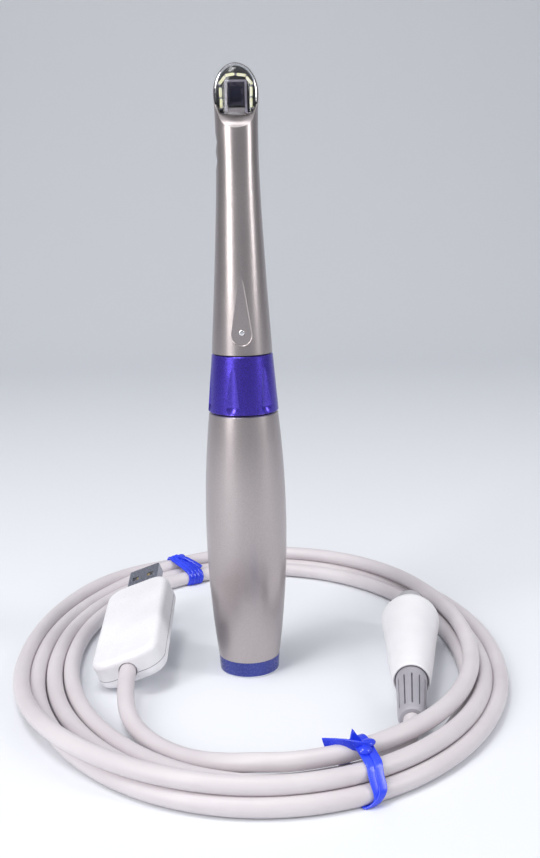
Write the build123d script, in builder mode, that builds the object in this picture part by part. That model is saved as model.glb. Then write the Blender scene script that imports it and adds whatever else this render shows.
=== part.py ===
from build123d import *
from math import atan2, cos, pi, radians, sin, tan
import os

# An intraoral camera: a slim handpiece that stands on its base, with a focus ring that
# turns on a bearing sleeve and carries the sensor along the axis, and a detachable lead
# coiled round it on the table. Millimetres, +Z up, origin under the middle of the base.
# The lens window looks along -Y.

os.makedirs("parts", exist_ok=True)

# Fits
running_gap = 0.08      # a part that turns or slides on another
seat_gap = 0.05         # a part that sits in another and stays
ring_end_gap = 0.4      # above and below the focus ring

# Barrel of the handpiece
band_bottom = 0.6
band_top = 5.6
base_rim_r = 9.95
band_bottom_r = 10.05
barrel_foot_r = 10.4
barrel_belly_r = 13.5
barrel_belly_z = 50.5
barrel_top = 90.2
barrel_top_r = 11.35
barrel_wall = 2.0
barrel_bevel = 0.35
spigot_r = 9.0          # base cap inside the barrel
spigot_top = 15.0
socket_gap = 0.35       # round the lead's nose in the socket
socket_relief_r = 5.6   # wider space above the socket's guiding wall
socket_seat_r = 5.9     # seat of the contact carrier
contact_boss_r = 3.9
contact_t = 0.6
main_board_margin = 3.0
chips = ((0.1, 6.0, 7.0), (0.35, 8.0, 9.0), (0.63, 5.0, 6.0), (0.84, 7.0, 4.0))   # share of the way up
chip_t = 1.1

# Focus ring
ring_height = 18.8
ring_bottom_r = 11.6
ring_top_r = 9.97
ring_edge = 0.3
dimple_count = 6
dimple_first = -108.0   # bearing of the first dimple from +X
dimple_ball_r = 3.6
dimple_depth = 0.95
dimple_foot = 2.6       # from the ring's lower edge to the middle of the ball
dimple_length = 13.2

# Bearing sleeve and focus drive
sleeve_r = 7.9
sleeve_bore_r = 6.0
sleeve_flange_r = 9.35
sleeve_flange_drop = 5.7
sleeve_spigot_r = 7.0
sleeve_spigot_length = 12.0
seal_cord_r = 0.5
seal_inset = 2.0        # from each end of the ring to the middle of a seal
focus_turn = 100.0      # degrees
focus_travel = 5.0
pin_r = 1.0
pin_lift = 6.9          # from the ring's lower edge to the pin's lowest place
pin_bearing = 90.0      # the slot is on the back
groove_depth = 1.2
groove_side_gap = 0.12
groove_step = 4.0       # degrees between two cuts of the groove
carriage_wall = 1.1
carriage_below_pin = 4.5
carriage_above_pin = 7.5
sensor_board_t = 1.0
sensor_side = 4.2
sensor_t = 0.8

# Neck and head
length = 200.0
neck_stations = ((0.125, 9.27, 9.27), (0.285, 8.47, 8.4), (0.442, 7.77, 7.5), (0.598, 7.16, 6.8),
                 (0.75, 6.8, 6.3), (0.875, 6.76, 6.02))     # share of the way up, half widths
head_drop = 9.4         # from the tip to the head's widest level
head_depth = 15.5       # from the tip to the floor of the space behind the window
head_rx = 7.12
head_ry = 5.9
neck_foot_r = 9.87
neck_bore_r = 6.2
neck_taper_share = 0.6  # of the way from the sleeve to the head, where the bore has narrowed
head_wall = 0.85
lens_tube_r = 4.5
lens_tube_wall = 0.9
lens_tube_lift = 6.2    # above the end of the bearing sleeve
lens_flange_t = 3.0
lens_bore_drop = 3.6        # its top, below the head's floor
lens_t = 2.2
lens_bulge = 0.9
lens_margin = 4.0       # from each end of the tube to the nearest lens

# Thumb recess and touch electrode
recess_r = 3.5          # round lower end of the recess
recess_tip_r = 0.8
recess_length = 22.6
recess_foot = 2.9       # above the neck's lower edge
recess_depth = 0.9      # at the foot; it runs out at the tip
recess_floor_r = 0.45
electrode_r = 1.0
electrode_up = 4.3      # above the recess's foot
electrode_proud = 0.55
electrode_round = 0.5

# Objective and lights in the head
window_foot_drop = 15.4     # below the tip
window_flat = 0.88          # the window stands less far forward than the head's oval
window_floor = 0.8
scoop_line = ((-1.25, 21.0), (-1.0, 19.7), (-0.85, 18.8), (-0.63, 16.6), (-0.5, 14.6))  # y, drop
window_shoulder_drop = 12.0
window_side_y = -1.2
objective_w = 5.4
objective_h = 7.2
objective_drop = 9.7    # from the tip to the middle of the opening
frame_bar = 0.65
frame_front_y = -3.0
frame_depth = 2.2
frame_foot = 2.1
frame_toe = 5.0             # how far out the feet of its legs reach
frame_toe_h = 0.35
light_board_y = -1.4
light_board_t = 0.8
light_l = 2.7
light_w = 0.8
light_t = 0.5
lights = ((-1.7, 5.8, 8), (1.8, 5.7, -8), (-4.05, 4.2, 52), (4.15, 4.0, -52),
          (-4.65, 0.6, 90), (4.7, 0.8, 90), (-4.5, -2.6, 90), (4.6, -2.5, 90))  # from that middle
prism_gap = 0.1
saddle_gap = 0.1            # round the saddle between the frame's legs
saddle_back = 2.4
light_bore_r = 1.9

# Lead: plug
cable_d = 5.5
plug_foot = Vector(51.2, -32.3, 7.6)    # middle of the opening that the cable leaves by
plug_heading = 8.2      # degrees clockwise from +Y
plug_rise = 3.5
plug_length = 51.0
plug_foot_r = 6.2
plug_shoulder_r = 10.15
plug_shoulder_at = 43.0
plug_mouth_r = 5.4
plug_mouth_depth = 18.0
nose_r = 4.8
nose_wall = 0.8
nose_out = 10.0
nose_in = 10.0
pin_count = 5
plug_pin_r = 0.45
plug_pin_circle_r = 2.3
plug_pin_proud = 0.9    # above the insert's face, inside the nose's rim
plug_pin_length = 4.0
insert_recess = 1.4
relief_flange_r = 5.1
relief_r = 4.9
relief_tip_r = 4.3
relief_length = 24.0
relief_slots = 8
relief_slot_w = 0.9
relief_slot_depth = 1.1

# Lead: interface box and its connector
box_centre = Vector(-39.3, 6.2, 12.3)
box_heading = 1.0
box_rise = 7.6
box_roll = 21.0
box_w = 24.0
box_l = 54.0
box_t = 10.4
box_corner_r = 6.5
box_edge_r = 2.2
box_wall = 1.5
box_parting = 0.66      # share of the thickness above the parting line
usb_w = 12.0
usb_t = 4.5
usb_wall = 0.32
usb_out = 15.5
usb_in = 5.5
usb_window = 2.4
usb_window_back = 7.2   # from the mouth
usb_height = 0.6        # of the connector's middle above the box's middle
tongue_t = 1.9
contact_w = 1.0
contact_l = 8.0
contact_spacing = 2.2
gland_length = 6.0
gland_inset = 0.5
board_t = 1.2

# Lead: the coil that lies round the handpiece. Its middle line is an ellipse; the edges of
# its lower and upper layers are counted outward from it in cable diameters, at eight
# bearings from the front, clockwise seen from above.
coil_middle = (4.5, 3.65)
coil_rx = 73.5
coil_ry = 93.35
lower_inner = (-1.5, -2.4, -1.95, -0.9, -0.9, -1.3, -1.5, -0.55)
lower_outer = (1.55, 1.3, 2.0, 2.4, 2.15, 1.8, 1.65, 1.55)
upper_inner = (0.05, 0.45, 0.9, 1.35, 0.6, -0.2, -1.2, -0.95)
upper_outer = (1.05, 1.45, 1.9, 2.35, 1.6, 0.8, -0.2, 1.05)
lower_layer = 5.9       # top of the lower layer
upper_layer = 3.0       # underside of the upper one, sunk between the turns below
coil_height = 10.4
coil_round = 2.2

# Ties round the coil
tie_strip = 2.6
tie_t = 0.8
tie_step = 0.2          # between two wraps
tie_gap = 0.3           # above the coil
tie_side_gap = 0.6
tie_round = 1.2
tie_channel = 0.3       # each side of the wraps, under the coil
knot_size = (3.8, 5.4, 2.6)
tail_w = 3.4
# Bearing on the coil's ellipse, wraps, length of the loose end and its turn inward of the coil
ties = {"tie_front": (292.0, 2, 14.0, 43.0), "tie_back": (113.7, 3, 6.5, 25.0)}
spur = ((0.5, 0), (6.0, 0), (4.6, 5.4))     # upright cut end of the front tie


def around(count, first=0.0):
    """Bearings of a pattern of count copies round an axis."""
    return [first + i * 360.0 / count for i in range(count)]


# Barrel: a turned shell with a seat for the sleeve at the top and for the base cap below
ring_bottom = barrel_top + ring_end_gap
ring_top = ring_bottom + ring_height
neck_bottom = ring_top + ring_end_gap
flange_bottom = barrel_top - sleeve_flange_drop
spigot_bore_r = spigot_r + seat_gap
flange_bore_r = sleeve_flange_r + seat_gap

with BuildPart() as rear_housing:
    with BuildSketch(Plane.XZ):
        with BuildLine():
            outer = ThreePointArc((barrel_foot_r, band_top), (barrel_belly_r, barrel_belly_z),
                                  (barrel_top_r, barrel_top))
            Polyline(outer @ 1, (flange_bore_r, barrel_top), (flange_bore_r, flange_bottom))
            inner = ThreePointArc((flange_bore_r, flange_bottom),
                                  (barrel_belly_r - barrel_wall, barrel_belly_z),
                                  (spigot_bore_r, spigot_top))
            Polyline(inner @ 1, (spigot_bore_r, band_top), (barrel_foot_r, band_top))
        make_face()
    revolve(axis=Axis.Z)
    top_circles = rear_housing.edges().filter_by(GeomType.CIRCLE).group_by(Axis.Z)[-1]
    chamfer(top_circles.sort_by(SortBy.RADIUS)[-1], barrel_bevel)
rear_housing.part.label = "rear_housing"

# Coloured band round the foot
with BuildPart() as label_band:
    with BuildSketch(Plane.XZ):
        with BuildLine():
            Polyline((band_bottom_r, band_bottom), (barrel_foot_r, band_top - seat_gap),
                     (spigot_bore_r, band_top - seat_gap), (spigot_bore_r, band_bottom), close=True)
        make_face()
    revolve(axis=Axis.Z)
label_band.part.label = "label_band"

# Base cap: rim, spigot and the round socket for the lead's nose
socket_r = nose_r + socket_gap
socket_wall = nose_out - 1.0
socket_end = nose_out + 0.6
contact_face = nose_out - insert_recess + plug_pin_proud
with BuildPart() as base_cap:
    with BuildSketch(Plane.XZ):
        with BuildLine():
            Polyline((socket_r, 0), (base_rim_r - 0.25, 0), (base_rim_r, 0.25),
                     (base_rim_r, band_bottom), (spigot_r, band_bottom), (spigot_r, spigot_top),
                     (socket_seat_r, spigot_top), (socket_seat_r, socket_end),
                     (socket_relief_r, socket_end), (socket_relief_r, socket_wall),
                     (socket_r, socket_wall), close=True)
        make_face()
    revolve(axis=Axis.Z)
base_cap.part.label = "base_cap"

# Contact carrier on its seat above the socket, with a boss that enters the nose, and the
# flush contacts that the nose's pins touch
with BuildPart() as socket_insert:
    with BuildSketch(Plane.XY.offset(socket_end + seat_gap)):
        Circle(socket_seat_r - seat_gap)
    extrude(amount=spigot_top - socket_end - seat_gap)
    with BuildSketch(Plane.XY.offset(contact_face)):
        Circle(contact_boss_r)
    extrude(amount=socket_end + seat_gap - contact_face)
    with BuildSketch(Plane.XY.offset(contact_face)):
        with PolarLocations(plug_pin_circle_r, pin_count):
            Circle(plug_pin_r + 0.35)
    extrude(amount=contact_t, mode=Mode.SUBTRACT)
socket_insert.part.label = "socket_insert"

with BuildPart() as socket_contacts:
    with BuildSketch(Plane.XY.offset(contact_face)):
        with PolarLocations(plug_pin_circle_r, pin_count):
            Circle(plug_pin_r + 0.3)
    extrude(amount=contact_t - seat_gap)
socket_contacts.part.label = "socket_contacts"

# Chassis: a half tube between the base cap and the sleeve, with the main board across it
chassis_r = 8.6
chassis_wall = 1.2
chassis_bottom = spigot_top + seat_gap
chassis_top = flange_bottom - seat_gap
with BuildPart() as chassis:
    with BuildSketch(Plane.XY.offset(chassis_bottom)):
        Circle(chassis_r)
        Circle(chassis_r - chassis_wall, mode=Mode.SUBTRACT)
        with Locations((0, chassis_r)):
            Rectangle(2 * chassis_r, 2 * chassis_r, mode=Mode.SUBTRACT)
    extrude(amount=chassis_top - chassis_bottom)
chassis.part.label = "chassis"

main_board_w = 2 * chassis_r - 0.4
board_foot = chassis_bottom + main_board_margin
board_l = chassis_top - main_board_margin - board_foot
with BuildPart() as main_board:
    board_face = Plane.XZ.offset(-seat_gap - board_t)
    with BuildSketch(board_face):
        with Locations((0, (chassis_top + chassis_bottom) / 2)):
            RectangleRounded(main_board_w, board_l, 0.8)
    extrude(amount=board_t)
    with BuildSketch(board_face):
        for share, w, h in chips:
            with Locations((0, board_foot + share * board_l)):
                Rectangle(w, h)
    extrude(amount=-chip_t)
main_board.part.label = "main_board"

# Bearing sleeve: flange below, running surface under the ring, spigot in the neck, grooves
# for the two seals and the straight slot that keeps the carriage from turning
pin_start_z = ring_bottom + pin_lift
slot_w = 2 * (pin_r + 0.1)
seal_r = sleeve_r + running_gap - 0.05 - seal_cord_r
seal_heights = (ring_bottom + seal_inset, ring_top - seal_inset)
spigot_end = neck_bottom + sleeve_spigot_length
with BuildPart() as core_tube:
    with BuildSketch(Plane.XZ):
        with BuildLine():
            Polyline((sleeve_bore_r, flange_bottom), (sleeve_flange_r, flange_bottom),
                     (sleeve_flange_r, barrel_top), (sleeve_r, barrel_top),
                     (sleeve_r, neck_bottom), (sleeve_spigot_r, neck_bottom),
                     (sleeve_spigot_r, spigot_end), (sleeve_bore_r, spigot_end), close=True)
        make_face()
        for z in seal_heights:
            with Locations((sleeve_r, z)):
                Rectangle(2 * (sleeve_r - seal_r + seal_cord_r + 0.05), 2 * seal_cord_r + 0.15,
                          mode=Mode.SUBTRACT)
    revolve(axis=Axis.Z)
    with BuildSketch(Plane.XZ):
        with Locations((0, pin_start_z + focus_travel / 2)):
            SlotOverall(focus_travel + slot_w + 0.4, slot_w, rotation=90)
    extrude(amount=-(sleeve_r + 1), mode=Mode.SUBTRACT)
core_tube.part.label = "core_tube"

with BuildPart() as ring_seals:
    with BuildSketch(Plane.XZ):
        with Locations(*[(seal_r, z) for z in seal_heights]):
            Circle(seal_cord_r)
    revolve(axis=Axis.Z)
ring_seals.part.label = "ring_seals"

# Focus ring: a coned sleeve with six teardrop finger dimples and, inside, the helical
# groove that lifts the carriage's pin
ring_bore_r = sleeve_r + running_gap
cone_slope = atan2(ring_bottom_r - ring_top_r, ring_height)
dimple_z = ring_bottom + dimple_foot


def ring_radius(z):
    """Outside radius of the focus ring at a height."""
    return ring_bottom_r + (ring_top_r - ring_bottom_r) * (z - ring_bottom) / ring_height


def teardrop(ball_r, depth, reach):
    """A ball with a long cone above it, which cuts a finger dimple of that depth and reach."""
    with BuildPart() as drop:
        with BuildSketch(Plane.XZ):
            with BuildLine():
                ball = CenterArc((0, 0), ball_r, -90, 102)
                Polyline(ball @ 1, (ball_r - depth, reach), (0, reach), ball @ 0)
            make_face()
        revolve(axis=Axis.Z)
    return drop.part


dimple_cutter = teardrop(dimple_ball_r, dimple_depth, dimple_length)

with BuildPart() as focus_ring:
    with BuildSketch(Plane.XZ):
        with BuildLine():
            Polyline((ring_bore_r, ring_bottom), (ring_bottom_r, ring_bottom),
                     (ring_top_r, ring_top), (ring_bore_r, ring_top), close=True)
        make_face()
    revolve(axis=Axis.Z)
    rims = focus_ring.edges().filter_by(GeomType.CIRCLE)
    chamfer([rims.group_by(Axis.Z)[0].sort_by(SortBy.RADIUS)[-1],
             rims.group_by(Axis.Z)[-1].sort_by(SortBy.RADIUS)[-1]], ring_edge)
    for bearing in around(dimple_count, dimple_first):
        out = Vector(cos(radians(bearing)), sin(radians(bearing)), 0)
        reach = ring_radius(dimple_z) + dimple_ball_r - dimple_depth
        lean = out * -sin(cone_slope) + Vector(0, 0, cos(cone_slope))
        middle = out * reach + Vector(0, 0, dimple_z)
        with Locations(Plane(origin=middle, x_dir=lean.cross(out), z_dir=lean)):
            add(dimple_cutter, mode=Mode.SUBTRACT)
    groove_cuts = []
    for i in range(-1, int(focus_turn / groove_step) + 2):
        turn = i * groove_step
        out = Vector(cos(radians(pin_bearing - turn)), sin(radians(pin_bearing - turn)), 0)
        lift = focus_travel * turn / focus_turn
        groove_cuts.append(Plane(origin=out * sleeve_bore_r + Vector(0, 0, pin_start_z + lift), z_dir=out))
    with Locations(*groove_cuts):
        Cylinder(pin_r + groove_side_gap, ring_bore_r + groove_depth - sleeve_bore_r,
                 align=(Align.CENTER, Align.CENTER, Align.MIN), mode=Mode.SUBTRACT)
focus_ring.part.label = "focus_ring"

# Focus carriage: a tube in the sleeve's bore with the follower pin on its back
carriage_r = sleeve_bore_r - running_gap
carriage_bottom = pin_start_z - carriage_below_pin
carriage_top = pin_start_z + carriage_above_pin
pin_reach = ring_bore_r + groove_depth - 0.2
with BuildPart() as focus_carriage:
    with BuildSketch(Plane.XY.offset(carriage_bottom)):
        Circle(carriage_r)
        Circle(carriage_r - carriage_wall, mode=Mode.SUBTRACT)
    extrude(amount=carriage_top - carriage_bottom)
    with BuildSketch(Plane.XY.offset(carriage_top - sensor_board_t - seat_gap)):
        Circle(carriage_r - 0.4)
    extrude(amount=2 * sensor_board_t, mode=Mode.SUBTRACT)
    with BuildSketch(Plane.XZ.offset(-(carriage_r - carriage_wall / 2))):
        with Locations((0, pin_start_z)):
            Circle(pin_r)
    extrude(amount=-(pin_reach - carriage_r + carriage_wall / 2))
focus_carriage.part.label = "focus_carriage"

with BuildPart() as sensor_board:
    with BuildSketch(Plane.XY.offset(carriage_top - sensor_board_t)):
        Circle(carriage_r - 0.4 - seat_gap)
    extrude(amount=sensor_board_t)
sensor_board.part.label = "sensor_board"

with BuildPart() as image_sensor:
    with BuildSketch(Plane.XY.offset(carriage_top)):
        Rectangle(sensor_side, sensor_side)
    extrude(amount=sensor_t)
    with BuildSketch(Plane.XY.offset(carriage_top + sensor_t)):
        Rectangle(sensor_side - 1.0, sensor_side - 1.0)
    extrude(amount=-0.15, mode=Mode.SUBTRACT)
image_sensor.part.label = "image_sensor"


# Neck and head: round at the foot, an upright oval at the head, closed by a half egg
head_z = length - head_drop
head_floor_z = length - head_depth
window_foot_z = length - window_foot_drop
window_shoulder_z = length - window_shoulder_drop
objective_z = length - objective_drop


def head_space(inset):
    """The head's outside, drawn in by inset all round, from below the window to the tip."""
    with BuildPart() as space:
        with BuildSketch(Plane.XZ):
            with BuildLine():
                rx, rz = head_rx - inset, length - head_z - inset
                dome = EllipticalCenterArc((0, head_z), rx, rz, arc_size=90)
                Polyline(dome @ 1, (0, head_floor_z), (rx, head_floor_z), dome @ 0)
            make_face()
        revolve(axis=Axis.Z)
        scale(by=(1, (head_ry - inset) / (head_rx - inset), 1))
    return space.part


with BuildPart() as neck_blank:
    for share, rx, ry in ((0, neck_foot_r, neck_foot_r),) + neck_stations + ((1, head_rx, head_ry),):
        with BuildSketch(Plane.XY.offset(neck_bottom + share * (head_z - neck_bottom))):
            Ellipse(rx, ry)
    loft()
    with BuildSketch(Plane.XZ):
        with BuildLine():
            dome = EllipticalCenterArc((0, head_z), head_rx, length - head_z, arc_size=90)
            Polyline(dome @ 1, (0, head_z), dome @ 0)
        make_face()
    head_dome = revolve(axis=Axis.Z, mode=Mode.PRIVATE)
    add(scale(head_dome, by=(1, head_ry / head_rx, 1), mode=Mode.PRIVATE))

# What lies in front of the parting line between the window and the metal
with BuildPart() as window_region:
    with BuildSketch(Plane.YZ):
        with BuildLine():
            rise = Spline(*[(share * head_ry, length - drop) for share, drop in scoop_line],
                          (window_side_y, window_shoulder_z))
            Polyline(rise @ 1, (window_side_y, head_z), (0.6, length + 1),
                     (scoop_line[0][0] * head_ry, length + 1), rise @ 0)
        make_face()
    extrude(amount=head_rx + 1, both=True)

head_cavity = head_space(head_wall)

# Thumb recess: flat floor, round foot, sides that close to a narrow tip where it runs out
front_slope = (neck_foot_r - neck_stations[1][2]) / (neck_stations[1][0] * (head_z - neck_bottom))
recess_front = neck_foot_r - recess_foot * front_slope
floor_y = -(recess_front - recess_depth)
floor_lean = atan2(recess_length * front_slope - recess_depth, recess_length)
recess_plane = Plane(origin=(0, floor_y, neck_bottom + recess_foot), x_dir=(1, 0, 0),
                     z_dir=(0, -cos(floor_lean), sin(floor_lean)))
with BuildPart() as recess_cutter:
    with BuildSketch(recess_plane):
        with Locations((0, recess_r)):
            Circle(recess_r)
        with Locations((0, recess_length - recess_tip_r)):
            Circle(recess_tip_r)
        make_hull()
    extrude(amount=4 * recess_depth)
    fillet(recess_cutter.faces().sort_by(Axis((0, 0, 0), recess_plane.z_dir))[0].edges(), recess_floor_r)

lens_tube_bottom = spigot_end + lens_tube_lift
lens_bore_top = head_floor_z - lens_bore_drop
objective_foot_z = objective_z - objective_h / 2
lens_flange_top = lens_tube_bottom + lens_flange_t
electrode_z = neck_bottom + recess_foot + electrode_up
taper_top = spigot_end + neck_taper_share * (head_floor_z - spigot_end)
with BuildPart() as neck_housing:
    add(neck_blank.part)
    with BuildSketch(Plane.XY.offset(neck_bottom)):
        Circle(sleeve_spigot_r + seat_gap)
    extrude(amount=sleeve_spigot_length + 0.2, mode=Mode.SUBTRACT)
    with BuildSketch(Plane.XZ):
        with BuildLine():
            Polyline((0, neck_bottom), (neck_bore_r, neck_bottom), (neck_bore_r, lens_flange_top),
                     (lens_tube_r + seat_gap, taper_top), (lens_tube_r + seat_gap, lens_bore_top),
                     (0, lens_bore_top), close=True)
        make_face()
    revolve(axis=Axis.Z, mode=Mode.SUBTRACT)
    add(head_cavity, mode=Mode.SUBTRACT)
    # Saddle under the prism, with the light's way down through it
    with BuildSketch(Plane.XY.offset(head_floor_z)):
        with Locations((0, (saddle_back - head_ry) / 2)):
            Rectangle(objective_w - 2 * saddle_gap, saddle_back + head_ry - head_wall)
    extrude(amount=objective_foot_z - saddle_gap - head_floor_z)
    with BuildSketch(Plane.XY.offset(lens_bore_top)):
        Circle(light_bore_r)
    extrude(amount=head_z - lens_bore_top, mode=Mode.SUBTRACT)
    # The front is scooped out up to the window's sides
    add(window_region.part, mode=Mode.SUBTRACT)
    # Thumb recess with the electrode's hole in it
    add(recess_cutter.part, mode=Mode.SUBTRACT)
    with BuildSketch(Plane.XZ.offset(sleeve_spigot_r)):
        with Locations((0, electrode_z)):
            Circle(electrode_r + seat_gap)
    extrude(amount=neck_foot_r, mode=Mode.SUBTRACT)
neck_housing.part.label = "neck_housing"

# Touch electrode in the thumb recess
with BuildPart() as touch_electrode:
    with BuildSketch(Plane.XZ.offset(sleeve_spigot_r + 2 * seat_gap)):
        with Locations((0, electrode_z)):
            Circle(electrode_r)
    extrude(amount=-floor_y + electrode_proud - electrode_up * tan(floor_lean) - sleeve_spigot_r
            - 2 * seat_gap)
    fillet(touch_electrode.faces().sort_by(Axis.Y)[0].edges(), electrode_round)
touch_electrode.part.label = "touch_electrode"

# Clear window: the front half of the head, a shell of even wall
with BuildPart() as head_window:
    add(scale(neck_blank.part, by=(1, window_flat, 1), mode=Mode.PRIVATE))
    hollow = scale(head_cavity, by=(1, window_flat, 1), mode=Mode.PRIVATE)
    with BuildPart(mode=Mode.PRIVATE) as above_floor:
        with Locations((0, 0, window_foot_z + window_floor)):
            Box(4 * head_rx, 4 * head_rx, head_depth, align=(Align.CENTER, Align.CENTER, Align.MIN))
        add(hollow, mode=Mode.INTERSECT)
    add(above_floor.part, mode=Mode.SUBTRACT)
    with BuildPart(mode=Mode.PRIVATE) as front:
        add(window_region.part.moved(Location((0, -seat_gap, seat_gap))))
        with Locations((0, 0, window_foot_z)):
            Box(4 * head_rx, 4 * head_rx, length, align=(Align.CENTER, Align.CENTER, Align.MIN),
                mode=Mode.INTERSECT)
    add(front.part, mode=Mode.INTERSECT)
head_window.part.label = "head_window"

# Objective: frame, prism, and below them the lens tube with its three lenses
frame_w = objective_w + 2 * frame_bar
frame_top = objective_z + objective_h / 2 + frame_bar
frame_bottom = objective_z - objective_h / 2 - frame_foot
with BuildPart() as objective_frame:
    with BuildSketch(Plane.XZ.offset(-frame_front_y)):
        with Locations((0, (frame_top + frame_bottom) / 2)):
            Rectangle(frame_w, frame_top - frame_bottom)
        with Locations((0, objective_z - frame_foot / 2)):
            Rectangle(objective_w, objective_h + frame_foot, mode=Mode.SUBTRACT)
    extrude(amount=-frame_depth)
    # Each leg ends in a foot along the lower edge of the light board
    with BuildSketch(Plane.XZ.offset(seat_gap - light_board_y)):
        for side in (-1, 1):
            with Locations((side * (frame_toe + frame_w / 2) / 2, frame_bottom + frame_toe_h / 2)):
                Rectangle(frame_toe - frame_w / 2, frame_toe_h)
    extrude(amount=light_t)
    front = objective_frame.faces().sort_by(Axis.Y)[0]
    chamfer(front.outer_wire().edges().filter_by(GeomType.LINE).sort_by(Axis.Z)[-1], 0.25)
objective_frame.part.label = "objective_frame"

prism_side = objective_h - 2 * prism_gap
prism_bottom = objective_z - objective_h / 2 + prism_gap
prism_front = frame_front_y + 0.25
with BuildPart() as objective_prism:
    with BuildSketch(Plane.YZ):
        with BuildLine():
            Polyline((prism_front, prism_bottom), (prism_front + prism_side, prism_bottom),
                     (prism_front, prism_bottom + prism_side), close=True)
        make_face()
    extrude(amount=objective_w / 2 - prism_gap, both=True)
objective_prism.part.label = "objective_prism"

lens_tube_top = lens_bore_top - seat_gap
with BuildPart() as lens_tube:
    with BuildSketch(Plane.XY.offset(lens_tube_bottom)):
        Circle(lens_tube_r)
        Circle(lens_tube_r - lens_tube_wall, mode=Mode.SUBTRACT)
    extrude(amount=lens_tube_top - lens_tube_bottom)
    with BuildSketch(Plane.XY.offset(lens_tube_bottom)):
        Circle(neck_bore_r - seat_gap)
        Circle(lens_tube_r - lens_tube_wall, mode=Mode.SUBTRACT)
    extrude(amount=lens_flange_t)
lens_tube.part.label = "lens_tube"

lens_heights = (lens_tube_bottom + lens_margin, (lens_tube_bottom + lens_tube_top) / 2,
                lens_tube_top - lens_margin)
rim_r = lens_tube_r - lens_tube_wall - seat_gap
with BuildPart() as relay_lenses:
    for z in lens_heights:
        with BuildSketch(Plane.XZ):
            with BuildLine():
                high, low = z + lens_t / 2, z - lens_t / 2
                ThreePointArc((-rim_r, high), (0, high + lens_bulge), (rim_r, high))
                ThreePointArc((-rim_r, low), (0, low - lens_bulge), (rim_r, low))
                Line((-rim_r, high), (-rim_r, low))
                Line((rim_r, high), (rim_r, low))
            make_face()
            split(bisect_by=Plane.YZ)
        revolve(axis=Axis.Z)
relay_lenses.part.label = "relay_lenses"

# Light board: a horseshoe that fills the head round the frame, and its eight lights
with BuildPart() as led_board:
    with BuildSketch(Plane.XZ.offset(-light_board_y)):
        with Locations((0, (frame_bottom + length) / 2)):
            Rectangle(4 * head_rx, length - frame_bottom)
        with Locations((0, (frame_bottom + frame_top) / 2)):
            Rectangle(frame_w + 2 * seat_gap, frame_top - frame_bottom + 2 * seat_gap, mode=Mode.SUBTRACT)
    extrude(amount=-light_board_t)
    add(scale(head_space(head_wall + seat_gap), by=(1, window_flat, 1), mode=Mode.PRIVATE),
        mode=Mode.INTERSECT)
led_board.part.label = "led_board"

with BuildPart() as leds:
    for x, up, lean in lights:
        with BuildSketch(Plane.XZ.offset(-light_board_y)):
            with Locations((x, objective_z + up)):
                RectangleRounded(light_l, light_w, 0.2, rotation=lean)
        extrude(amount=light_t)
leds.part.label = "leds"


# Lead: the plug lies on the table beside the handpiece, its nose toward the back
def heading_axis(heading, rise):
    """Unit vector from a heading, clockwise from +Y, and a rise above the table."""
    h, p = radians(heading), radians(rise)
    return Vector(sin(h) * cos(p), cos(h) * cos(p), sin(p))


plug_dir = heading_axis(plug_heading, plug_rise)
plug_axis = Axis(plug_foot, plug_dir)
plug_side = plug_dir.cross(Vector(0, 0, 1)).normalized()
plug_profile = Plane(origin=plug_foot, x_dir=plug_side, z_dir=plug_side.cross(plug_dir))


def plug_section(along):
    """Plane square to the plug's axis, at a distance from its cable end."""
    return Plane(origin=plug_foot + plug_dir * along, x_dir=plug_side, z_dir=plug_dir)


nose_bore_r = nose_r + seat_gap
with BuildPart() as plug_housing:
    with BuildSketch(plug_profile):
        with BuildLine():
            side = Spline((plug_foot_r, 0.8), (plug_foot_r + 1.6, 0.42 * plug_shoulder_at),
                          (plug_foot_r + 3.2, 0.84 * plug_shoulder_at), (plug_shoulder_r, plug_shoulder_at))
            shoulder = Spline(side @ 1, (plug_shoulder_r - 1.6, plug_length - 2.4),
                              (nose_r + 1.4, plug_length), tangents=[side % 1, (-1, 0.05)])
            Polyline(shoulder @ 1, (nose_bore_r, plug_length), (nose_bore_r, plug_length - nose_in),
                     (0, plug_length - nose_in), (0, plug_mouth_depth), (plug_mouth_r, plug_mouth_depth),
                     (plug_mouth_r, 0.3), (plug_mouth_r + 0.3, 0), (plug_foot_r - 0.3, 0), side @ 0)
        make_face()
    revolve(axis=plug_axis)
plug_housing.part.label = "plug_housing"

with BuildPart() as plug_collar:
    with BuildSketch(plug_section(plug_length - nose_in + seat_gap)):
        Circle(nose_r)
        Circle(nose_r - nose_wall, mode=Mode.SUBTRACT)
    extrude(amount=nose_in + nose_out - seat_gap)
    tip = plug_collar.edges().filter_by(GeomType.CIRCLE).sort_by(plug_axis)[-2:]
    chamfer(tip.sort_by(SortBy.RADIUS)[-1], 0.3)
plug_collar.part.label = "plug_collar"

insert_end = plug_length + nose_out - insert_recess
with BuildPart() as plug_insert:
    with BuildSketch(plug_section(plug_length - nose_in + seat_gap)):
        Circle(nose_r - nose_wall - seat_gap)
    extrude(amount=insert_end - (plug_length - nose_in + seat_gap))
    with BuildSketch(plug_section(insert_end)):
        with PolarLocations(plug_pin_circle_r, pin_count):
            Circle(plug_pin_r + seat_gap)
    extrude(amount=-(plug_pin_length + seat_gap), mode=Mode.SUBTRACT)
plug_insert.part.label = "plug_insert"

with BuildPart() as plug_pins:
    with BuildSketch(plug_section(insert_end - plug_pin_length)):
        with PolarLocations(plug_pin_circle_r, pin_count):
            Circle(plug_pin_r)
    extrude(amount=plug_pin_length + plug_pin_proud)
plug_pins.part.label = "plug_pins"

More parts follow.
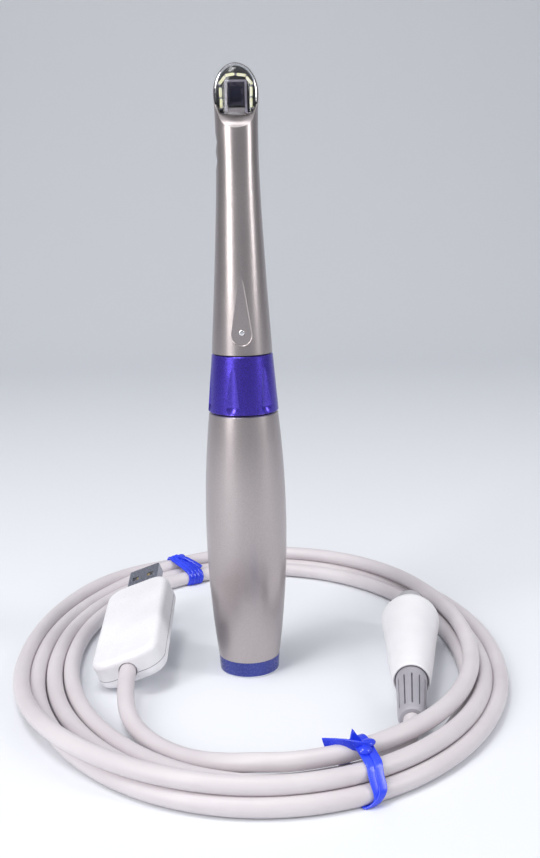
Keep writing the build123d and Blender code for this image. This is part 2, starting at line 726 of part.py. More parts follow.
# Strain relief: a flanged, slotted rubber sleeve in the plug's mouth
relief_flange = (0.9, 4.2)
with BuildPart() as strain_relief:
    with BuildSketch(plug_profile):
        with BuildLine():
            Polyline((0, plug_mouth_depth - seat_gap), (relief_r - 0.3, plug_mouth_depth - seat_gap),
                     (relief_r - 0.3, relief_flange[1]), (relief_flange_r, relief_flange[1]),
                     (relief_flange_r, relief_flange[0] + 0.8), (relief_r, relief_flange[0] - 1.0),
                     (relief_tip_r, 0.5 - relief_length), (relief_tip_r - 0.5, -relief_length),
                     (0, -relief_length), close=True)
        make_face()
    revolve(axis=plug_axis)
    for bearing in around(relief_slots, 22.5):
        with BuildSketch(plug_section(-relief_length + 3.5)):
            with Locations(Rotation(0, 0, bearing)):
                with Locations((relief_r, 0)):
                    Rectangle(2 * relief_slot_depth, relief_slot_w)
        extrude(amount=relief_length - 7.0, mode=Mode.SUBTRACT)
strain_relief.part.label = "strain_relief"

# Lead: the interface box, rolled over on its long edge, with its connector at the far end
box_dir = heading_axis(box_heading, box_rise)
level_side = box_dir.cross(Vector(0, 0, 1)).normalized()
level_up = level_side.cross(box_dir)
box_side = level_side * cos(radians(box_roll)) + level_up * sin(radians(box_roll))
box_up = box_side.cross(box_dir)


def box_plane(height=0.0):
    """Plane parallel to the box's top face, X across it and Y toward its connector."""
    return Plane(origin=box_centre + box_up * height, x_dir=box_side, z_dir=box_up)


def box_end(along, height=0.0):
    """Plane square to the box's length, X across the box and Y through its thickness."""
    return Plane(origin=box_centre + box_dir * along + box_up * height, x_dir=box_side,
                 z_dir=box_side.cross(box_up))


box_seam = box_t / 2 - box_parting * box_t
cable_hole_r = cable_d / 2 + 0.35
box_halves = {"box_top_shell": (box_seam + seat_gap / 2, box_t / 2),
              "box_bottom_shell": (box_seam - seat_gap / 2, -box_t / 2)}
box_shells = []
for name, (seam, face) in box_halves.items():
    outward = 1 if face > seam else -1
    with BuildPart() as shell:
        with BuildSketch(box_plane(seam)):
            RectangleRounded(box_w, box_l, box_corner_r)
        extrude(amount=face - seam)
        rim = shell.faces().sort_by(Axis(box_centre, box_up * outward))[-1]
        fillet(rim.edges(), min(box_edge_r, abs(face - seam) - 0.6))
        with BuildSketch(box_plane(seam)):
            RectangleRounded(box_w - 2 * box_wall, box_l - 2 * box_wall, box_corner_r - box_wall)
        extrude(amount=face - seam - outward * box_wall, mode=Mode.SUBTRACT)
        with BuildSketch(box_end(box_l / 2 - 2 * box_wall, usb_height)):
            Rectangle(usb_w + 2 * seat_gap, usb_t + 2 * seat_gap)
        extrude(amount=-3 * box_wall, both=True, mode=Mode.SUBTRACT)
        with BuildSketch(box_end(-box_l / 2, 0)):
            Circle(cable_hole_r)
        extrude(amount=2 * box_wall, both=True, mode=Mode.SUBTRACT)
    shell.part.label = name
    box_shells.append(shell.part)

# Clamp round the cable inside the box's cable hole
with BuildPart() as box_gland:
    with BuildSketch(box_end(-box_l / 2 + gland_inset)):
        Circle(cable_hole_r - seat_gap)
    extrude(amount=-gland_length)
box_gland.part.label = "box_gland"

# Circuit board in the box, on the connector's height
board_front = -box_l / 2 + gland_inset + gland_length + 0.5
board_back = box_l / 2 - box_wall - usb_in - 0.5
with BuildPart() as box_board:
    with BuildSketch(box_plane(usb_height - usb_t / 2)):
        with Locations((0, (board_front + board_back) / 2)):
            Rectangle(box_w - 2 * box_wall - 0.4, board_back - board_front)
    extrude(amount=board_t)
    with BuildSketch(box_plane(usb_height - usb_t / 2 + board_t)):
        with Locations((-3.5, -4.0)):
            Rectangle(8.0, 8.0)
        with Locations((5.5, 5.0)):
            Rectangle(5.0, 6.0)
    extrude(amount=1.2)
box_board.part.label = "box_board"

# Connector: a pressed metal sleeve with two square windows, its tongue and four contacts
usb_mouth = box_l / 2 + usb_out
usb_root = box_l / 2 - box_wall - usb_in
with BuildPart() as usb_shell:
    with BuildSketch(box_end(usb_root, usb_height)):
        RectangleRounded(usb_w, usb_t, 0.5)
        RectangleRounded(usb_w - 2 * usb_wall, usb_t - 2 * usb_wall, 0.3, mode=Mode.SUBTRACT)
    extrude(amount=-(usb_mouth - usb_root))
    with BuildSketch(box_plane(usb_height)):
        with Locations(*[(x, usb_mouth - usb_window_back) for x in (-usb_w / 4, usb_w / 4)]):
            Rectangle(usb_window, usb_window)
    extrude(amount=usb_t, mode=Mode.SUBTRACT)
usb_shell.part.label = "usb_shell"

tongue_low = usb_height - usb_t / 2 + usb_wall + seat_gap
with BuildPart() as usb_tongue:
    with BuildSketch(box_end(usb_root, tongue_low + tongue_t / 2)):
        Rectangle(usb_w - 2 * usb_wall - 6 * seat_gap, tongue_t)
    extrude(amount=-(usb_mouth - usb_root - 0.6))
usb_tongue.part.label = "usb_tongue"

with BuildPart() as usb_contacts:
    with BuildSketch(box_plane(tongue_low + tongue_t)):
        with GridLocations(contact_spacing, 1, 4, 1):
            with Locations((0, usb_mouth - contact_l / 2 - 2.0)):
                Rectangle(contact_w, contact_l)
    extrude(amount=0.25)
usb_contacts.part.label = "usb_contacts"


# Lead: the coil's outer shape, two layers between smooth closed outlines
def coil_frame(at):
    """Point of the coil's middle line at an ellipse bearing, and its outward direction."""
    a = radians(at)
    out = Vector(cos(a) / coil_rx, sin(a) / coil_ry, 0).normalized()
    return Vector(coil_middle[0] + coil_rx * cos(a), coil_middle[1] + coil_ry * sin(a), 0), out


def coil_edge(lay):
    """Closed outline through an edge of a layer, with a point at each bearing and between."""
    points = []
    for i in range(2 * len(lay)):
        middle, out = coil_frame(270.0 - i * 180.0 / len(lay))
        reach = (lay[i // 2] + lay[(i + 1) // 2 % len(lay)]) / 2
        points.append(middle + out * reach * cable_d)
    return points


def coil_layer(inner, outer, bottom, top):
    """One layer of the coil, a flat closed band with rounded edges."""
    with BuildPart() as layer:
        with BuildSketch(Plane.XY.offset(bottom)):
            with BuildLine():
                Spline(*coil_edge(outer), periodic=True)
            make_face()
            with BuildLine():
                Spline(*coil_edge(inner), periodic=True)
            make_face(mode=Mode.SUBTRACT)
        extrude(amount=top - bottom)
        flats = layer.faces().sort_by(Axis.Z)
        fillet(flats[0].edges() + flats[-1].edges(), coil_round)
    return layer.part


def coil_band(lay_inner, lay_outer, at):
    """Reach of the coil's edges at a bearing, in cable diameters."""
    place = (270.0 - at) % 360.0 / 360.0 * len(lay_inner)
    i, part = int(place), place % 1
    j = (i + 1) % len(lay_inner)
    return [lay[i] * (1 - part) + lay[j] * part for lay in (lay_inner, lay_outer)]


def tie_plane(at):
    """Plane across the coil at a bearing, X outward and Y up, at the middle of the band."""
    middle, out = coil_frame(at)
    near, far = coil_band(lower_inner, lower_outer, at)
    centre = middle + out * (near + far) / 2 * cable_d
    return Plane(origin=centre, x_dir=out, z_dir=out.cross(Vector(0, 0, 1))), (far - near) * cable_d


def wrap_starts(wraps):
    """Where each wrap of a tie starts along the coil, counted from the tie's middle."""
    return [(i - wraps / 2) * tie_strip + (i - (wraps - 1) / 2) * tie_step for i in range(wraps)]


tie_low = seat_gap + tie_t
tie_high = coil_height + tie_gap
with BuildPart() as cable_coil:
    add(coil_layer(lower_inner, lower_outer, 0.0, lower_layer))
    add(coil_layer(upper_inner, upper_outer, upper_layer, coil_height))
    for at, wraps, _, _ in ties.values():
        plane, width = tie_plane(at)
        with BuildSketch(plane):
            Rectangle(width + 30, 2 * (tie_low + 0.1))
        extrude(amount=tie_channel - wrap_starts(wraps)[0], both=True, mode=Mode.SUBTRACT)
cable_coil.part.label = "cable_coil"

# Ties: flat strip wrapped side by side round the coil and knotted on top, one end lying
# along the coil; the front tie's other end is cut to a point and stands up
tie_parts = []
for name, (at, wraps, tail_length, tail_turn) in ties.items():
    plane, width = tie_plane(at)
    inside_w = width + 2 * tie_side_gap
    inside_h = tie_high - tie_low
    knot_at = plane.origin - plane.x_dir * (inside_w / 2 - knot_size[0]) + Vector(0, 0, tie_high)
    tail_dir = plane.z_dir.rotate(Axis.Z, -tail_turn)
    with BuildPart() as tie:
        for start in wrap_starts(wraps):
            with BuildSketch(plane.offset(start)):
                with Locations((0, (tie_high + tie_low) / 2)):
                    RectangleRounded(inside_w + 2 * tie_t, inside_h + 2 * tie_t, tie_round + tie_t)
                    RectangleRounded(inside_w, inside_h, tie_round, mode=Mode.SUBTRACT)
            extrude(amount=tie_strip)
        with BuildSketch(Plane(origin=knot_at, x_dir=plane.x_dir, z_dir=(0, 0, 1))):
            RectangleRounded(knot_size[0], knot_size[1], 1.6)
        extrude(amount=knot_size[2])
        fillet(tie.faces().sort_by(Axis.Z)[-1].edges(), 1.1)
        with BuildSketch(Plane(origin=knot_at, x_dir=tail_dir, z_dir=(0, 0, 1))):
            with Locations((tail_length / 2, 0)):
                Rectangle(tail_length, tail_w)
        extrude(amount=tie_t)
        if name == "tie_front":
            upright = Plane(origin=knot_at, x_dir=tail_dir, z_dir=Vector(0, 0, -1).cross(tail_dir))
            with BuildSketch(upright):
                Polygon(*spur, align=None)
            extrude(amount=tie_t / 2, both=True)
    tie.part.label = name
    tie_parts.append(tie.part)


# Lead: the two stretches of cable outside the coil, straight runs joined by tangent arcs
def cable_tube(points):
    """Round cable along a route, each arc as large as its two runs allow."""
    radii = []
    for before, here, after in zip(points, points[1:], points[2:]):
        turn = radians((here - before).get_angle(after - here))
        radii.append(0.45 * min((here - before).length, (after - here).length) / tan(turn / 2))
    with BuildPart() as tube:
        with BuildLine():
            path = FilletPolyline(*points, radius=radii)
        with BuildSketch(Plane(origin=path @ 0, z_dir=path % 0)):
            Circle(cable_d / 2)
        sweep(path=path)
    print("cable radii", [round(r, 1) for r in radii], "length", round(path.length, 1),
          "volume share", round(tube.part.volume / (path.length * pi * cable_d ** 2 / 4), 4))
    return tube.part


relief_end = plug_foot + plug_dir * -relief_length
plug_lead_route = [relief_end, relief_end + plug_dir * -7.5, Vector(45.1, -70.0, 5.0),
                   Vector(43.0, -75.4, 4.2)]
cable_plug_lead = cable_tube(plug_lead_route)
cable_plug_lead.label = "cable_plug_lead"

box_exit = box_centre - box_dir * (box_l / 2 - gland_inset)
box_lead_route = [box_exit, box_exit - box_dir * 9.0, Vector(-38.2, -42.5, 4.6), Vector(-33.4, -52.8, 3.0),
                  Vector(-26.2, -62.4, 2.8), Vector(-17.4, -70.6, 3.4), Vector(-8.0, -76.4, 4.8),
                  Vector(2.0, -80.2, 6.0), Vector(12.0, -81.9, 6.6)]
cable_box_lead = cable_tube(box_lead_route)
cable_box_lead.label = "cable_box_lead"

pieces = [rear_housing.part, label_band.part, base_cap.part, socket_insert.part, socket_contacts.part,
          chassis.part, main_board.part, core_tube.part, ring_seals.part, focus_ring.part,
          focus_carriage.part, sensor_board.part, image_sensor.part, neck_housing.part,
          touch_electrode.part, head_window.part, objective_frame.part, objective_prism.part,
          lens_tube.part, relay_lenses.part, led_board.part, leds.part, plug_housing.part,
          plug_collar.part, plug_insert.part, plug_pins.part, strain_relief.part, *box_shells,
          box_gland.part, box_board.part, usb_shell.part, usb_tongue.part, usb_contacts.part,
          cable_coil.part, *tie_parts, cable_plug_lead, cable_box_lead]
for piece in pieces:
    export_step(piece, f"parts/{piece.label}.step")
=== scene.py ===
from math import atan2, cos, degrees, hypot, pi, radians, sin

import bmesh
import bpy
from mathutils import Matrix, Vector


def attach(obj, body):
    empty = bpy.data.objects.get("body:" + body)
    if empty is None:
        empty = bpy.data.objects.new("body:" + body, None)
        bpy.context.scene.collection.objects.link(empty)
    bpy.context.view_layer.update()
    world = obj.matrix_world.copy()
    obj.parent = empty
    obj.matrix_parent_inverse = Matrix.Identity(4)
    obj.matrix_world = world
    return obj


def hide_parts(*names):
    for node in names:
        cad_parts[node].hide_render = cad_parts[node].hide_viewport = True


# An intraoral camera standing in its own coiled lead. Everything in metres, +Z up,
# the lens window looks along -Y.

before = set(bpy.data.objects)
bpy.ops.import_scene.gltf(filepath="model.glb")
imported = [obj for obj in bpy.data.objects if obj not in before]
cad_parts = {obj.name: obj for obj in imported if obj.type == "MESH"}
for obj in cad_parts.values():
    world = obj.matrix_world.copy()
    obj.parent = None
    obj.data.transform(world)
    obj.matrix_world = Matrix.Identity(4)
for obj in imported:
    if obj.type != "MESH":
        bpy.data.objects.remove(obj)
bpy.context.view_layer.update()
bpy.ops.object.select_all(action='DESELECT')
print("frame loaded:", len(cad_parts), "nodes")


# Camera
camSet = {
    "place": (0.0, -0.35661, 0.15834),
    "yaw": 1.3804,        # degrees to the right
    "pitch": 11.8,        # down
    "roll": 1.1307,
    "lens": 46.154,
    "sensor": 36.0,
    "clip": (0.01, 20.0),
}


def makeCamera(s):
    bpy.ops.object.camera_add(location=s["place"])
    cam = bpy.context.object
    cam.name = "photoCamera"
    cam.data.sensor_fit = 'AUTO'
    cam.data.sensor_width = s["sensor"]
    cam.data.lens = s["lens"]
    cam.data.clip_start, cam.data.clip_end = s["clip"]
    yaw, pitch, roll = radians(s["yaw"]), radians(s["pitch"]), radians(s["roll"])
    forward = Vector((sin(yaw) * cos(pitch), cos(yaw) * cos(pitch), -sin(pitch)))
    right = Vector((cos(yaw), -sin(yaw), 0))
    down = forward.cross(right)
    side = right * cos(roll) + down * sin(roll)
    drop = down * cos(roll) - right * sin(roll)
    turn = Matrix((side, -drop, -forward)).transposed()
    cam.rotation_euler = turn.to_euler()
    bpy.context.scene.camera = cam


makeCamera(camSet)
print("camera set")


# Small helpers for nodes
def newMat(name, base=(0.8, 0.8, 0.8), rough=0.5, metal=0.0):
    mat = bpy.data.materials.new(name)
    mat.use_nodes = True
    bsdf = mat.node_tree.nodes["Principled BSDF"]
    bsdf.inputs["Base Color"].default_value = (*base, 1)
    bsdf.inputs["Roughness"].default_value = rough
    bsdf.inputs["Metallic"].default_value = metal
    return mat, mat.node_tree.nodes, mat.node_tree.links, bsdf


def addNode(nodes, kind, **values):
    node = nodes.new(kind)
    for key, value in values.items():
        if key in node.inputs:
            node.inputs[key].default_value = value
        else:
            setattr(node, key, value)
    return node


def noiseAt(nodes, links, scale, detail=2.0, stretch=(1, 1, 1)):
    where = addNode(nodes, "ShaderNodeTexCoord")
    mapping = addNode(nodes, "ShaderNodeMapping")
    mapping.inputs["Scale"].default_value = stretch
    noise = addNode(nodes, "ShaderNodeTexNoise", Scale=scale, Detail=detail)
    links.new(where.outputs["Object"], mapping.inputs["Vector"])
    links.new(mapping.outputs["Vector"], noise.inputs["Vector"])
    return noise


def rampOf(nodes, links, source, stops):
    ramp = addNode(nodes, "ShaderNodeValToRGB")
    links.new(source, ramp.inputs["Fac"])
    ramp.color_ramp.elements[0].position = stops[0][0]
    ramp.color_ramp.elements[0].color = (*stops[0][1], 1)
    ramp.color_ramp.elements[1].position = stops[-1][0]
    ramp.color_ramp.elements[1].color = (*stops[-1][1], 1)
    for at, colour in stops[1:-1]:
        ramp.color_ramp.elements.new(at).color = (*colour, 1)
    return ramp


def spread(nodes, links, source, low, high, fromLow=0.3, fromHigh=0.7):
    fit = addNode(nodes, "ShaderNodeMapRange")
    fit.inputs["From Min"].default_value = fromLow
    fit.inputs["From Max"].default_value = fromHigh
    fit.inputs["To Min"].default_value = low
    fit.inputs["To Max"].default_value = high
    links.new(source, fit.inputs["Value"])
    return fit


def bumpOf(nodes, links, bsdf, source, strength, distance=0.0001):
    bump = addNode(nodes, "ShaderNodeBump", Strength=strength, Distance=distance)
    links.new(source, bump.inputs["Height"])
    links.new(bump.outputs["Normal"], bsdf.inputs["Normal"])
    return bump


# Lead
leadSet = {
    "d": 0.0055,
    "middle": (0.0045, 0.00365),
    "rx": 0.0735,
    "ry": 0.09335,
    "steps": 16,          # points to a turn
    "smooth": 10,         # steps between two points
    "round": 6,
    # outward from the ellipse and up, in cable diameters, clockwise from the front
    "lay": (
        (-1.06, 0.00), (-1.43, 0.00), (-1.75, 0.00), (-1.66, 0.00), (-1.44, 0.00), (-1.04, 0.00),
        (-0.65, 0.00), (-0.58, 0.00), (-0.52, 0.00), (-0.64, 0.00), (-0.78, 0.00), (-0.88, 0.00),
        (-0.92, 0.00), (-0.60, 0.00), (-0.05, 0.00), (0.10, 0.00),
        (0.02, 0.00), (-0.33, 0.00), (-0.60, 0.00), (-0.57, 0.00), (-0.43, 0.00), (-0.03, 0.00),
        (0.35, 0.00), (0.42, 0.00), (0.49, 0.00), (0.36, 0.00), (0.26, 0.00), (0.23, 0.00),
        (0.17, 0.01), (0.32, 0.38), (0.50, 0.76), (0.54, 0.82),
        (0.54, 0.84), (0.73, 0.97), (1.05, 0.91), (1.38, 0.48), (1.58, 0.11), (1.91, 0.33),
        (2.21, 0.56), (2.25, 0.15), (1.73, 0.00), (1.50, 0.00), (1.33, 0.00), (1.24, 0.00),
        (1.19, 0.00), (1.24, 0.00), (1.17, 0.00), (1.14, 0.00),
        (1.08, 0.00), (0.93, 0.00), (0.68, 0.00), (0.51, 0.00), (0.58, 0.00), (0.97, 0.00),
        (1.35, 0.01), (1.24, 0.70), (1.10, 0.79), (0.76, 0.91), (0.31, 0.98), (-0.16, 0.92),
        (-0.47, 0.90), (-0.54, 1.12), (-0.59, 1.30), (-0.92, 1.30)),
    "enterLay": (-1.08, 0.0),
    # from the plug's relief to the coil
    "enter": ((0.04778, -0.05601, 0.00614), (0.04703, -0.06124, 0.0056), (0.04247, -0.06851, 0.0036),
              (0.03935, -0.07143, 0.0029)),
    # from the coil to the box
    "leave": ((0.0120, -0.0819, 0.0080), (0.0020, -0.0802, 0.0074), (-0.0080, -0.0764, 0.0054),
              (-0.0174, -0.0706, 0.0036), (-0.0262, -0.0624, 0.0028), (-0.0334, -0.0528, 0.0030),
              (-0.0382, -0.0425, 0.0046), (-0.03992, -0.02899, 0.00761), (-0.03976, -0.02007, 0.0088)),
}


def coilPoint(s, i, out, up):
    at = radians(270 - 360 / s["steps"] * i)
    away = Vector((cos(at) / s["rx"], sin(at) / s["ry"], 0)).normalized()
    draw = cos(pi / s["steps"])         # the curve runs inside its points by this
    x, y = s["middle"]
    point = Vector((x + s["rx"] / draw * cos(at), y + s["ry"] / draw * sin(at), 0))
    return point + away * out * s["d"] + Vector((0, 0, s["d"] / 2 + up * s["d"]))


def makeLead(s):
    points = [Vector(p) for p in s["enter"]]
    points.append(coilPoint(s, -1, *s["enterLay"]))
    for i, (out, up) in enumerate(s["lay"]):
        points.append(coilPoint(s, i, out, up))
    points += [Vector(p) for p in s["leave"]]
    line = bpy.data.curves.new("leadCable", 'CURVE')
    line.dimensions = '3D'
    spline = line.splines.new('NURBS')
    spline.points.add(len(points) - 1)
    for spot, p in zip(spline.points, points):
        spot.co = (*p, 1)
        spot.radius = s["d"] / 2        # a curve's box grows by this, so it carries the thickness
    spline.order_u = 3
    spline.use_endpoint_u = True
    spline.resolution_u = s["smooth"]
    line.bevel_depth = 1.0
    line.bevel_resolution = s["round"]
    line.use_fill_caps = True
    cable = bpy.data.objects.new("leadCable", line)
    bpy.context.collection.objects.link(cable)
    return cable


leadCable = makeLead(leadSet)
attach(leadCable, "handpiece")
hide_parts("cable_plug_lead", "cable_coil", "cable_box_lead")
print("lead laid")


# Shared by the pieces that follow a path
cornerTurns = ((1, 1, 0), (-1, 1, 90), (-1, -1, 180), (1, -1, 270))     # side, side and first angle


def meshPiece(name, bm, smoothAngle=35):
    bmesh.ops.recalc_face_normals(bm, faces=bm.faces)
    data = bpy.data.meshes.new(name)
    bm.to_mesh(data)
    bm.free()
    piece = bpy.data.objects.new(name, data)
    bpy.context.collection.objects.link(piece)
    bpy.ops.object.select_all(action='DESELECT')
    piece.select_set(True)
    bpy.context.view_layer.objects.active = piece
    bpy.ops.object.shade_smooth_by_angle(angle=radians(smoothAngle))
    return piece


# Round-edged section of a flat strip, as (across, out) pairs
def stripSection(width, thick, turns=5, soft=0.92):
    r = thick / 2 * soft
    pairs = []
    for sx, sy, start in cornerTurns:
        for k in range(turns + 1):
            at = radians(start + 90 * k / turns)
            pairs.append((sx * (width / 2 - r) + r * cos(at), sy * (thick / 2 - r) + r * sin(at)))
    return pairs


def bridge(bm, low, high):
    n = len(low)
    for k in range(n):
        bm.faces.new((low[k], low[(k + 1) % n], high[(k + 1) % n], high[k]))


# Rows of (centre, across, out) carry the section; open ends are capped
def sweep(bm, rows, section, closed):
    rings = [[bm.verts.new(c + a * x + o * y) for x, y in section] for c, a, o in rows]
    for low, high in zip(rings, rings[1:]):
        bridge(bm, low, high)
    if closed:
        bridge(bm, rings[-1], rings[0])
    else:
        bm.faces.new(rings[0][::-1])
        bm.faces.new(rings[-1])


# Round the outside of equal circles, whose centres are given counterclockwise, in mm
def hugPath(corners, reach, step=0.6):
    path = []
    count = len(corners)
    for k, (u, v) in enumerate(corners):
        before, after = corners[k - 1], corners[(k + 1) % count]
        inAt = atan2(-(u - before[0]), v - before[1])
        outAt = atan2(-(after[0] - u), after[1] - v)
        while outAt < inAt:
            outAt += 2 * pi
        turns = max(2, int((outAt - inAt) * reach / step))
        for j in range(turns + 1):
            at = inAt + (outAt - inAt) * j / turns
            path.append((u + reach * cos(at), v + reach * sin(at), at))
        run = hypot(after[0] - u, after[1] - v)
        for j in range(1, int(run / step)):
            share = j / int(run / step)
            path.append((u + (after[0] - u) * share + reach * cos(outAt),
                         v + (after[1] - v) * share + reach * sin(outAt), outAt))
    return path


# A piece's own length, level and upright directions
def directionsOf(s):
    heading, rise = radians(s["heading"]), radians(s["rise"])
    axis = Vector((sin(heading) * cos(rise), cos(heading) * cos(rise), sin(rise)))
    level = axis.cross(Vector((0, 0, 1))).normalized()
    return axis, level, level.cross(axis)


# Ties, in mm from each tie's origin: outward, along the cable and up
tieSet = {
    "tieFront": {
        "node": "tie_front",
        "origin": (0.032034, -0.082903),
        "out": (0.45654, -0.88970),
        "corners": ((6.10, 2.95), (2.89, 7.24), (-4.89, 9.58), (-5.15, 2.98)),
        # reach, width, thickness, place along the cable at the top, middle and foot
        "strands": ((3.05, 2.7, 0.62, -1.8, -3.5, -3.6), (3.45, 2.6, 0.62, 0.6, -1.6, -6.2)),
        "high": 12.4,
        "knots": (((-0.1, -1.7, 11.9), (2.2, 1.9, 1.25)), ((-1.4, 0.2, 12.9), (2.4, 1.7, 1.0))),
        "tail": ((-0.6, -0.6, 12.3), (-1.6, -2.6, 12.6), (-4.2, -4.6, 12.5), (-7.4, -6.6, 11.8),
                 (-10.4, -8.3, 11.0)),
        "tailSize": (3.4, 0.6),
        "tailLean": 0.35,
        "spur": ((-5.2, -3.0, 12.4), (-2.9, -0.5, 12.7), (-4.9, -2.3, 16.0)),
        "spurThick": 0.55,
    },
    "tieBack": {
        "node": "tie_back",
        "origin": (-0.025043, 0.089127),
        "out": (-0.48695, 0.87343),
        "corners": ((11.80, 3.84), (6.68, 6.07), (-3.12, 2.95), (2.25, 2.95)),
        "strands": ((3.15, 1.75, 1.15, 4.6, 1.9, 2.4), (3.30, 1.75, 1.25, 2.9, 0.3, 0.9),
                    (3.15, 1.75, 1.15, 1.2, -1.4, -0.7), (3.30, 1.75, 1.25, -0.5, -3.0, -2.2)),
        "high": 8.8,
        "lap": ((9.5, 4.6, 7.7), (6.6, 2.4, 9.9), (2.6, -0.6, 9.2), (-1.6, -3.0, 7.6), (-3.4, -4.4, 6.4)),
        "lapSize": (1.8, 1.1),
    },
}


def tieFrame(s):
    out = Vector((*s["out"], 0))
    return Vector((*s["origin"], 0)), out, Vector((-out.y, out.x, 0)), Vector((0, 0, 1))


def tieSpot(place, spot):
    home, out, along, up = place
    u, w, v = spot
    return home + (out * u + along * w + up * v) / 1000


# How far a strand has slid along the cable at height v
def slideAt(v, high, top, middle, foot):
    share = min(max(v / high, 0), 1)
    if share > 0.5:
        return middle + (top - middle) * (1 - cos(pi / 2 * (2 * share - 1)))
    return foot + (middle - foot) * sin(pi * share)


def makeTie(name, s, addEnds):
    place = tieFrame(s)
    home, out, along, up = place
    bm = bmesh.new()
    for reach, width, thick, top, middle, foot in s["strands"]:
        section = stripSection(width / 1000, thick / 1000)
        rows = []
        for u, v, at in hugPath(s["corners"], reach):
            slide = slideAt(v, s["high"], top, middle, foot)
            v = max(v, thick / 2 + 0.03)        # off the floor
            rows.append((tieSpot(place, (u, slide, v)), along, out * cos(at) + up * sin(at)))
        sweep(bm, rows, section, True)
    addEnds(bm, s, place)
    piece = meshPiece(name, bm)
    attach(piece, "handpiece")
    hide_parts(s["node"])
    return piece


# A rounded lump: a ball stretched along three axes, in mm
def ballAt(bm, centre, axes, sizes):
    turn = Matrix(axes).transposed().to_4x4()
    grow = Matrix.Diagonal((*(mm / 1000 for mm in sizes), 1))
    bmesh.ops.create_icosphere(bm, subdivisions=3, radius=1.0,
                               matrix=Matrix.Translation(centre) @ turn @ grow)


# An open strip through spots; wide is the direction of its width
def flatStrip(bm, spots, size, wide):
    section = stripSection(size[0] / 1000, size[1] / 1000)
    rows = []
    for k, spot in enumerate(spots):
        run = (spots[min(k + 1, len(spots) - 1)] - spots[max(k - 1, 0)]).normalized()
        across = (wide - run * wide.dot(run)).normalized()
        rows.append((spot, across, run.cross(across)))
    sweep(bm, rows, section, False)


# Knot, the square-ended tail to the left and the pointed end that stands up
def frontEnds(bm, s, place):
    home, out, along, up = place
    for spot, sizes in s["knots"]:
        ballAt(bm, tieSpot(place, spot), (along, out, up), sizes)
    tail = [tieSpot(place, spot) for spot in s["tail"]]
    flatStrip(bm, tail, s["tailSize"], up + out * s["tailLean"])
    tip = [tieSpot(place, spot) for spot in s["spur"]]
    front = [bm.verts.new(p) for p in tip]
    back = [bm.verts.new(p - out * s["spurThick"] / 1000) for p in tip]
    bm.faces.new(front)
    bm.faces.new(back[::-1])
    bridge(bm, back, front)


# The free end lies slantwise over the strands
def backEnds(bm, s, place):
    flatStrip(bm, [tieSpot(place, spot) for spot in s["lap"]], s["lapSize"], place[2])


tieFront = makeTie("tieFront", tieSet["tieFront"], frontEnds)
tieBack = makeTie("tieBack", tieSet["tieBack"], backEnds)
print("ties made")


# Cable sleeve in the plug
reliefSet = {
    "foot": (0.0512, -0.0323, 0.0076),
    "heading": 8.2,
    "rise": 3.5,
    # station from the plug's mouth and radius, in mm; the flange is domed
    "profile": ((4.15, 0.2), (4.2, 5.0), (2.0, 5.12), (1.2, 5.12), (0.2, 5.06), (-0.8, 4.98),
                (-2.0, 4.9), (-3.6, 4.84), (-12.0, 4.6), (-20.9, 4.38), (-22.6, 4.32), (-23.6, 4.15),
                (-24.0, 3.8), (-24.0, 2.72), (-20.0, 2.72)),
    "slots": 12,
    "slotWide": 0.5,      # mm, at the radius below
    "slotRadius": 4.7,
    "slotDeep": 1.0,
    "slotFloor": 0.86,    # share of the width that is flat at the bottom
    "slotEdge": 0.05,
    "slotRun": (-21.0, -3.4),
    "ribSteps": 4,
    "smoothAngle": 32,
}


# Angles round the sleeve, each with whether it is in a slot
def sleeveAngles(s):
    pitch = 360 / s["slots"]
    half = degrees(s["slotWide"] / 2 / s["slotRadius"])
    floor = half * s["slotFloor"]
    angles = []
    for k in range(s["slots"]):
        mid = pitch * k
        angles += [(mid - half, False), (mid - floor, True), (mid, True), (mid + floor, True),
                   (mid + half, False)]
        angles += [(mid + half + (pitch - 2 * half) * j / s["ribSteps"], False)
                   for j in range(1, s["ribSteps"])]
    return angles


# Stations along the sleeve, each with its radius and whether the slots are open there
def sleeveStations(s):
    first, last = s["slotRun"]
    step = s["slotEdge"]
    stations = []
    for (a, ra), (b, rb) in zip(s["profile"], s["profile"][1:]):
        stations.append((a, ra, first < a < last))
        if min(a, b) < last < max(a, b):
            r = ra + (rb - ra) * (a - last) / (a - b)
            stations += [(last + step, r, False), (last - step, r, True)]
        if min(a, b) < first < max(a, b):
            r = ra + (rb - ra) * (a - first) / (a - b)
            stations += [(first + step, r, True), (first - step, r, False)]
    stations.append((*s["profile"][-1], False))
    return stations


def makeRelief(s):
    axis, side, lift = directionsOf(s)
    foot = Vector(s["foot"])
    bm = bmesh.new()
    rings = []
    for along, r, slotted in sleeveStations(s):
        ring = []
        for at, deep in sleeveAngles(s):
            reach = r - (s["slotDeep"] if deep and slotted else 0)
            away = side * cos(radians(at)) + lift * sin(radians(at))
            ring.append(bm.verts.new(foot + (axis * along + away * reach) / 1000))
        rings.append(ring)
    for low, high in zip(rings, rings[1:]):
        bridge(bm, low, high)
    piece = meshPiece("reliefSleeve", bm, s["smoothAngle"])
    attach(piece, "handpiece")
    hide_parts("strain_relief")
    return piece


reliefSleeve = makeRelief(reliefSet)
print("sleeve made")


